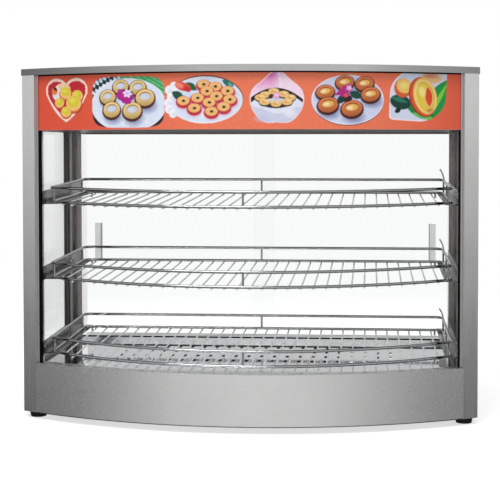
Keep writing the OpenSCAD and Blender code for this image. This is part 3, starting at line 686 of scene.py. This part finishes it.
def paint_biscuits(canvas):
    """Jam biscuits and a rose on an oval plate with a lace edge."""
    canvas.disc(-65, 53.5, 136, 84, ink(52, 30, 40))
    canvas.plate(-66, 52, 136, 83)
    for s, z, size in ((-131, 70, 16), (-122, 77, 15), (-128, 58, 15), (-133, 47, 15),
                       (-131, 36, 16), (-124, 28, 15), (-115, 72, 14)):
        canvas.disc(s, z, size, size, ink(238, 238, 244))
        canvas.glow(s + 3, z - 2, 0.8 * size, 0.8 * size, ink(202, 208, 226), 0.7)
    canvas.leaf(-115, 60, 26, 15, -30, ink(12, 78, 60))
    canvas.leaf(-107, 54, 16, 12, 40, ink(18, 90, 66))
    canvas.leaf(-90, 76, 24, 12, -35, ink(26, 92, 52))
    canvas.disc(-106, 76, 30, 15, ink(214, 72, 58), -18)
    canvas.disc(-112, 78, 15, 9, ink(240, 128, 108), -20)
    canvas.disc(-97, 71, 13, 9, ink(190, 44, 46), -30)
    canvas.leaf(-24, 81, 24, 11, -28, ink(36, 110, 96))
    canvas.leaf(-20, 78, 12, 6, -60, ink(90, 160, 150))
    rim, biscuit = ink(186, 44, 62), ink(238, 186, 118)
    for s, z in ((-68, 79), (-47, 75), (-62, 67), (-25, 67), (-45, 58), (-79, 55), (-21, 52),
                 (-105, 50), (-58, 47), (-32, 39), (-85, 37), (-54, 31)):
        canvas.glow(s + 1, z - 4, 34, 27, ink(214, 110, 150), 0.9)
        canvas.disc(s, z - 2, 28, 22, rim)
        canvas.disc(s, z + 0.6, 23, 16.5, ink(206, 120, 84))
        canvas.disc(s, z + 1, 21.5, 15, biscuit)
        canvas.disc(s, z + 1, 13, 9, ink(222, 160, 92))
        canvas.disc(s, z + 1.3, 11, 7.2, ink(240, 190, 122))
        canvas.disc(s + 0.5, z + 0.6, 6.5, 4.6, DARK)


def paint_hood(canvas):
    """Small tarts in a bowl under a pink pointed hood with a dark band."""
    middle, half = 60.5, 44
    u, v = canvas.oval(middle + 2, 53, 101, 92)
    # The outline bulges at its point and its lower corners, and is drawn in between them
    # and at its foot
    angle = np.abs(np.arctan2(u, v))
    outline = 0.95
    for at, width, rise in ((0, 0.3, 0.16), (0.7, 0.35, -0.07), (2.6, 0.3, 0.035),
                            (math.pi, 0.25, -0.06)):
        outline = outline + rise * np.exp(-((angle - at) / width) ** 2)
    reach, size = np.hypot(u, v) / outline, 46
    canvas.fill(reach, size, ink(246, 226, 234))
    inner = np.clip(0.5 + (0.965 - reach) * size / SOFT, 0, 1)
    height = np.clip((v - 0.2) / 0.8, 0, 1)[..., None]
    fold = np.clip(0.55 - u * 2.4, 0, 1)[..., None]
    deep = height * fold
    canvas.lay(inner, ink(242, 214, 234) * (1 - deep) + ink(216, 96, 176) * deep)
    canvas.lay(inner * (np.abs(u - 0.08 - 0.12 * (1 - v)) < 0.05) * (v > 0.3) * 0.6,
               ink(248, 232, 244))
    band = 73 - 17 * ((canvas.s - middle) / half) ** 2
    bowl = band - 8 + 1.5 * (canvas.s - middle) / half
    cloth = 40 - 13 * np.exp(-((canvas.s - middle - 2) / (half / 2)) ** 2)
    for top, colour in ((band, ink(22, 16, 24)), (bowl, ink(222, 226, 240)),
                        (cloth, ink(202, 204, 228))):
        canvas.lay(np.clip(0.5 + (top - canvas.z) / SOFT, 0, 1) * inner, colour)
    canvas.glow(middle + 25, 29, 30, 22, ink(236, 236, 248), 0.8)
    canvas.glow(middle - 22, 18, 40, 14, ink(188, 190, 220), 0.6)
    canvas.disc(middle, 50, 62, 26, ink(44, 30, 34))
    canvas.disc(middle, 54, 44, 16, ink(206, 206, 222))
    for s, z in ((57, 67), (42, 61), (74, 62), (33, 56), (86, 56), (41, 48), (80, 48), (61, 45)):
        canvas.disc(s, z - 2, 20, 12.5, ink(62, 32, 28))
        canvas.disc(s, z, 19, 11, ink(236, 194, 122))
        canvas.glow(s, z, 13, 6, ink(206, 132, 60), 0.8)
        canvas.glow(s + 2, z + 1.5, 8, 4, ink(255, 244, 214), 0.6)
    canvas.leaf(52, 58, 12, 8, 40, ink(58, 52, 30))
    canvas.petals(62, 59, 15, 7, ink(222, 150, 196))
    canvas.petals(62, 60, 8, 5, ink(238, 196, 226), 0.5)


def paint_egg_tarts(canvas):
    """Six browned egg tarts and an orchid on an oval plate."""
    canvas.disc(189, 50.5, 131, 88, ink(50, 26, 34))
    canvas.plate(189, 52, 131, 88, ink(204, 208, 234))
    crust, custard = ink(212, 116, 68), ink(232, 176, 84)
    for s, z, size in ((183, 83, 34), (219, 81, 35), (148, 66, 34), (230, 62, 36),
                       (153, 43, 38), (196, 37, 40)):
        canvas.cup(s, z, size, 0.74 * size, crust, ink(70, 26, 26), custard, 8, 0.6)
    canvas.disc(184, 55, 26, 14, ink(46, 22, 42))
    canvas.leaf(203, 61, 26, 14, -20, ink(14, 70, 62))
    canvas.leaf(176, 52, 18, 12, 40, ink(16, 56, 52))
    canvas.petals(183, 67, 25, 5, ink(176, 34, 120), 0.9, 0.6)
    canvas.leaf(174, 64, 20, 7, 20, ink(168, 36, 124))
    canvas.leaf(190, 75, 16, 8, 50, ink(190, 70, 160))
    canvas.petals(191, 73, 11, 5, ink(228, 180, 226), 0.2)
    canvas.disc(185, 60, 8, 7, ink(208, 80, 90))


def paint_bun(canvas):
    """A cut filled bun on green leaves, in a leaf-shaped white frame."""
    u, v = canvas.oval(321, 61.5, 110, 94, -3)
    square = (np.abs(u) ** 14 + np.abs(v) ** 14) ** (1 / 14)
    reach = np.where(u * v > 0, square, np.hypot(u, v))
    size = 45
    under, inside = canvas.window(reach, size)
    canvas.fill(reach, size, ink(244, 234, 240))
    canvas.fill(reach * 1.04, size, ink(206, 212, 232))
    canvas.glow(345, 94, 52, 30, ink(226, 178, 120), 1.0)
    canvas.disc(345, 91, 40, 14, ink(226, 180, 120), soft=3)
    canvas.glow(345, 97, 36, 12, ink(196, 110, 104), 0.8)
    canvas.leaf(362, 52, 90, 44, 62, ink(24, 144, 66))
    canvas.leaf(362, 56, 62, 8, 60, ink(120, 200, 60))
    canvas.leaf(325, 32, 66, 22, -22, ink(22, 128, 62))
    canvas.leaf(330, 24, 52, 8, -14, ink(90, 190, 80))
    canvas.disc(286, 49, 40, 26, ink(8, 62, 54), -12)
    canvas.leaf(284, 53, 34, 8, -16, ink(34, 116, 92))
    canvas.leaf(281, 34, 14, 9, 30, ink(10, 34, 30))
    canvas.disc(291, 74, 34, 34, ink(206, 92, 52), -20)
    canvas.disc(293, 78, 29, 26, ink(236, 190, 100), -20)
    canvas.glow(293, 79, 20, 16, ink(238, 226, 130), 0.8)
    canvas.disc(329, 58, 52, 73, ink(120, 34, 28), 18)
    canvas.disc(330, 59, 50, 71, ink(212, 84, 42), 18)
    canvas.disc(334, 60, 45, 67, ink(236, 184, 104), 17)
    canvas.disc(334, 60, 41, 62, ink(236, 212, 122), 17)
    canvas.disc(335, 59, 34, 54, ink(214, 150, 62), 16)
    canvas.disc(334, 59, 31, 50, ink(224, 198, 66), 15)
    canvas.disc(340, 57, 21, 42, ink(232, 186, 96), 12)
    canvas.leaf(341, 59, 36, 14, 96, ink(214, 70, 38))
    canvas.glow(328, 68, 16, 26, ink(244, 232, 150), 0.8, 18)
    canvas.glow(344, 34, 20, 12, ink(150, 60, 40), 0.5)
    canvas.colour = under * (1 - inside) + canvas.colour * inside


def add_sign_print(material):
    """The printed film on the sign: one thin closed sheet that follows the bow."""
    low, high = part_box("header_sign")
    radius, axis_y = bow_circle("header_sign")
    margin, film, gap, step = 0.1 * MM, 0.35 * MM, 0.05 * MM, 1.0 * MM
    half = radius * math.asin(high.x / radius) - margin
    tall = high.z - low.z - 2 * margin
    s = np.linspace(-half, half, round(2 * half / step) + 1)
    z = np.linspace(0, tall, round(tall / step) + 1)
    canvas = Canvas(s / MM, (z + margin) / MM)
    # The lamp lights the orange ground evenly for some way along the sign
    lamp_middle, lamp_reach = 80, 300
    lit = np.exp(-((canvas.s - lamp_middle) / lamp_reach) ** 4)[..., None]
    canvas.lay(np.ones_like(canvas.s), ORANGE_END * (1 - lit) + ORANGE_LIT * lit)
    for paint in (paint_heart, paint_round_plate, paint_biscuits, paint_hood,
                  paint_egg_tarts, paint_bun):
        paint(canvas)
    canvas.mottle(0.045)

    def on_bow(s_value, z_value, r):
        angle = s_value / radius
        return (r * np.sin(angle), axis_y - r * np.cos(angle), low.z + margin + z_value)

    front, back = radius + film, radius + gap
    grid_s, grid_z = np.meshgrid(s, z)
    points = np.stack(on_bow(grid_s, grid_z, front), -1).reshape(-1, 3)
    rear = [np.stack(on_bow(s, np.full_like(s, level), back), -1) for level in (0.0, tall)]
    points = np.concatenate([points, *rear])
    across, up = len(s), len(z)
    faces = [(j * across + i, j * across + i + 1, (j + 1) * across + i + 1, (j + 1) * across + i)
             for j in range(up - 1) for i in range(across - 1)]
    low_row, high_row = up * across, up * across + across
    top = (up - 1) * across
    for i in range(across - 1):
        faces.append((low_row + i + 1, low_row + i, high_row + i, high_row + i + 1))
        faces.append((i + 1, i, low_row + i, low_row + i + 1))
        faces.append((top + i, top + i + 1, high_row + i + 1, high_row + i))
    faces.append((low_row, *[j * across for j in range(up)], high_row))
    faces.append((high_row + across - 1,
                  *[j * across + across - 1 for j in reversed(range(up))],
                  low_row + across - 1))
    film_piece = add_piece("sign_print", points, faces, material, "case", "sign_print")
    colours = np.ones((len(points), 4), np.float32)
    colours[: up * across, :3] = canvas.colour.reshape(-1, 3) * INK_STRENGTH
    colours[up * across:, :3] = ORANGE_END
    layer = film_piece.data.color_attributes.new(INK, "FLOAT_COLOR", "POINT")
    layer.data.foreach_set("color", colours.ravel())


# ---------------------------------------------------------------- small parts

def bow_strip(radius, axis_y, x_from, x_to, z_from, z_to, thick, steps):
    """Points and faces of a closed strip that follows a bow, outer face at radius."""
    points, faces = [], []
    for i in range(steps + 1):
        x = x_from + (x_to - x_from) * i / steps
        for r, z in ((radius, z_from), (radius, z_to), (radius - thick, z_to),
                     (radius - thick, z_from)):
            points.append((x, axis_y - math.sqrt(r * r - x * x), z))
    for i in range(steps):
        a, b = 4 * i, 4 * i + 4
        faces += [(a + k, b + k, b + (k + 1) % 4, a + (k + 1) % 4) for k in range(4)]
    last = 4 * steps
    faces += [(0, 1, 2, 3), (last + 3, last + 2, last + 1, last)]
    return points, faces


def box_parts(low, high):
    """Points and faces of a block."""
    points = [(x, y, z) for z in (low[2], high[2]) for y in (low[1], high[1])
              for x in (low[0], high[0])]
    faces = [(0, 2, 3, 1), (4, 5, 7, 6), (0, 1, 5, 4), (2, 6, 7, 3), (0, 4, 6, 2), (1, 3, 7, 5)]
    return points, faces


def join(parts):
    """One list of points and faces from several."""
    points, faces = [], []
    for part_points, part_faces in parts:
        faces += [tuple(len(points) + i for i in face) for face in part_faces]
        points += part_points
    return points, faces


def bead(centre, size, rings=4, sides=8):
    """Points and faces of a small rounded blob of weld."""
    points = [tuple(np.add(centre, (0, 0, -size[2])))]
    for ring in range(1, rings):
        tilt = math.pi * ring / rings
        for side in range(sides):
            turn = 2 * math.pi * side / sides
            points.append((centre[0] + size[0] * math.sin(tilt) * math.cos(turn),
                           centre[1] + size[1] * math.sin(tilt) * math.sin(turn),
                           centre[2] - size[2] * math.cos(tilt)))
    points.append(tuple(np.add(centre, (0, 0, size[2]))))
    faces = [(0, 1 + (side + 1) % sides, 1 + side) for side in range(sides)]
    for ring in range(rings - 2):
        for side in range(sides):
            a, b = 1 + ring * sides + side, 1 + ring * sides + (side + 1) % sides
            faces.append((a, b, b + sides, a + sides))
    last, base = len(points) - 1, 1 + (rings - 2) * sides
    faces += [(last, base + side, base + (side + 1) % sides) for side in range(sides)]
    return points, faces


def add_welds(material):
    """The welds where a shelf's cross wires meet its front and rear rails."""
    lap, between, near = 2 * MM, 5 * MM, 1 * MM
    blob = (2.1 * MM, 1.7 * MM, 0.8 * MM)
    for shelf in SHELVES:
        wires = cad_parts[f"shelf_{shelf}_wires"].data
        points = np.array([v.co for v in wires.vertices])
        order = np.argsort(points[:, 0])
        gaps = np.diff(points[order, 0]) > between
        beads = []
        for group in np.split(order, np.nonzero(gaps)[0] + 1):
            wire = points[group]
            x = (wire[:, 0].min() + wire[:, 0].max()) / 2
            for end, inward in ((wire[:, 1].min(), lap), (wire[:, 1].max(), -lap)):
                top = wire[np.abs(wire[:, 1] - end) < near][:, 2].max()
                beads.append(bead((x, end + inward, top), blob))
        add_piece(f"shelf_{shelf}_welds", *join(beads), material, f"shelf_{shelf}",
                  "chrome_rail", smooth=True)


def add_front_trims(steel, dark, black_strip):
    """Strips that hold the ends of the sign and the glass, a black strip under the lid, which is
    painted shade along the lid's lower edge, and the apron's hem, painted dark as shade along
    its bottom edge."""
    sign_end, _, sign_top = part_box("header_sign")[1]
    apron_low, apron_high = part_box("front_apron")
    radius, axis_y = bow_circle("header_sign")
    lap, past = 2.722 * MM, 0.778 * MM
    inner, outer = sign_end - lap, sign_end + past
    proud, thick = 2.2 * MM, 1.2 * MM
    for side, ends in zip(SIDES, ((-outer, -inner), (inner, outer))):
        strip = bow_strip(radius + proud, axis_y, *ends, apron_high.z, sign_top, thick, 4)
        add_piece(f"front_trim_{side}", *strip, steel, "case", "brushed_steel")
    # A black strip put where the lid shades the top of the sign: painted shade
    proud, thick, tall = 1.2 * MM, 0.8 * MM, 2.3 * MM
    strip = bow_strip(radius + proud, axis_y, -inner, inner, sign_top - tall, sign_top,
                      thick, 96)
    add_piece("lid_shade_strip", *strip, black_strip, "case", "black_rubber")
    # The hem is painted dark as shade along the apron's bottom edge
    radius, axis_y = bow_circle("front_apron")
    proud, thick, tall = 0.35 * MM, 0.7 * MM, 1.6 * MM
    edge = apron_high.x - 0.5 * MM
    strip = bow_strip(radius + proud, axis_y, -edge, edge, apron_low.z, apron_low.z + tall,
                      thick, 96)
    add_piece("apron_hem", *strip, dark, "case", "dark_steel")


def add_track_strip(black_strip):
    """A black strip along the top edge of the lower door track's inner face."""
    low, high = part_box("door_track_bottom")
    proud, sunk, tall = 0.7 * MM, 0.2 * MM, 3.4 * MM
    strip = box_parts((low.x, low.y - proud, high.z - tall), (high.x, low.y + sunk, high.z))
    add_piece("track_black_strip", *strip, black_strip, "case", "black_rubber")


def add_dial_marks(black, white):
    """Ticks on the dial plate and a pointer line on the knob."""
    plate_low, plate_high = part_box("dial_plate")
    knob_low, knob_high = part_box("thermostat_knob")
    centre = (plate_low + plate_high) / 2
    ticks = []
    inner, outer, half = 22.5 * MM, 26.5 * MM, 0.45 * MM
    proud, sunk = 0.12 * MM, 0.05 * MM
    for degrees in range(-135, 136, 30):
        turn = math.radians(degrees)
        along = np.array([math.sin(turn), math.cos(turn)])
        aside = np.array([along[1], -along[0]])
        points = []
        for y in (plate_high.y - sunk, plate_high.y + proud):
            for reach, side in ((inner, -half), (outer, -half), (outer, half), (inner, half)):
                x, z = along * reach + aside * side
                points.append((centre.x + x, y, centre.z + z))
        ticks.append((points, [(0, 3, 2, 1), (4, 5, 6, 7), (0, 1, 5, 4), (1, 2, 6, 5),
                               (2, 3, 7, 6), (3, 0, 4, 7)]))
    add_piece("dial_ticks", *join(ticks), black, "case")
    middle, face = (knob_low.x + knob_high.x) / 2, knob_high.y
    grip_end = knob_high.z - 3.4 * MM
    half, long, sunk, proud = 0.7 * MM, 7 * MM, 1 * MM, 0.15 * MM
    pointer = box_parts((middle - half, face - sunk, grip_end - long),
                        (middle + half, face, grip_end + proud))
    add_piece("knob_pointer", *pointer, white, "knob")


# ---------------------------------------------------------------- finish

bpy.context.scene.view_settings.view_transform = "Standard"
add_camera()
add_world()
add_floor()
add_softbox("key", place=(-0.8, -1.9, 3.0), target=(0, 0, 0.3), size=(1.8, 1.2), power=75)
add_softbox("overhead", place=(0.2, -0.2, 2.7), target=(0, 0, 0), size=(2.4, 1.8), power=55,
            mirrored=False)
add_softbox("rear_fill", place=(0.9, 2.6, 1.9), target=(0, 0, 0.3), size=(1.6, 1.2), power=24,
            mirrored=False)

materials = make_materials()
dress_nodes(materials)
add_sign_print(materials["sign_ink"])
add_front_trims(materials["trim_steel"], materials["shade_steel"], materials["seal"])
add_track_strip(materials["seal"])
add_welds(materials["chrome_rail"])
add_dial_marks(materials["black_ink"], materials["white_ink"])
